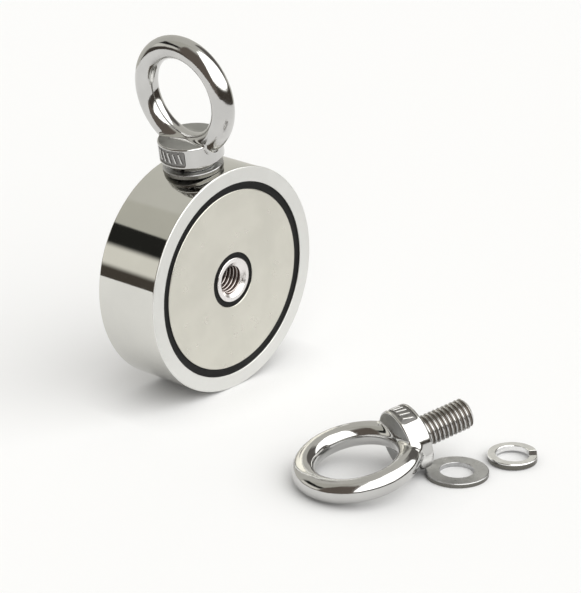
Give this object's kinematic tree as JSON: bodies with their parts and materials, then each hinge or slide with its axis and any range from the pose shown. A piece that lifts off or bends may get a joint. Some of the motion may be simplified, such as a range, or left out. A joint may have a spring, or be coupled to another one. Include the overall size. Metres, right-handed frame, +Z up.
{
  "type": "fishing magnet",
  "caption": "Round double-sided magnet in a steel pot with a threaded centre bush, an eyebolt screwed into its rim over washers, and a loose spare eyebolt and washers beside it.",
  "frame": {"origin": "where the magnet's rim meets the ground, under the centre of its bore", "axes": "+Z up from the ground; +Y along the magnet's bore from its front face to its rear face; +X to the right of someone who looks at the front face"},
  "size_m": [0.0859, 0.1413, 0.1188],
  "materials": {
    "nickel_plate": "bright nickel plate on turned steel, finely brushed on the flat lands",
    "machined_steel": "bright machined",
    "magnet_plating": "satin nickel plate",
    "resin": "black cast epoxy",
    "polished_stainless": "tumbled and polished stainless steel",
    "washer_steel": "stamped, satin",
    "spring_steel": "bright drawn wire"
  },
  "bodies": {
    "magnet": {"steel_pot": "nickel_plate", "centre_bush": "machined_steel", "front_magnet": "magnet_plating", "rear_magnet": "magnet_plating", "front_adhesive_bed": "resin", "rear_adhesive_bed": "resin", "front_outer_resin_ring": "resin", "rear_outer_resin_ring": "resin", "front_inner_resin_ring": "resin", "rear_inner_resin_ring": "resin"},
    "rim_washers": {"side_flat_washer": "washer_steel", "side_spring_washer": "spring_steel"},
    "rim_eyebolt": {"side_eyebolt": "polished_stainless"},
    "loose_eyebolt": {"spare_eyebolt": "polished_stainless"},
    "loose_flat_washer": {"spare_flat_washer": "washer_steel"},
    "loose_spring_washer": {"spare_spring_washer": "spring_steel"}
  },
  "joints": [
    {"name": "side_eyebolt_turn", "type": "hinge", "parent": "magnet", "child": "rim_washers", "pos_m": [0, 0, 0.0374], "axis": [-0.1423, 0, 0.9898], "range_deg": [0, 3330]},
    {"name": "side_eyebolt_travel", "type": "slide", "parent": "rim_washers", "child": "rim_eyebolt", "axis": [-0.1423, 0, 0.9898], "range_m": [0, 0.0139]},
    {"name": "spare_eyebolt_lift", "type": "slide", "parent": "magnet", "child": "loose_eyebolt", "axis": [0, 0, 1], "range_m": [0, 0.03]},
    {"name": "spare_flat_washer_slide", "type": "slide", "parent": "magnet", "child": "loose_flat_washer", "axis": [0, -1, 0], "range_m": [0, 0.02]},
    {"name": "spare_spring_washer_slide", "type": "slide", "parent": "magnet", "child": "loose_spring_washer", "axis": [1, 0, 0], "range_m": [0, 0.02]}
  ],
  "couplings": [
    {"joint": "side_eyebolt_travel", "follows": "side_eyebolt_turn", "m_per_rad": 0.00023873}
  ]
}
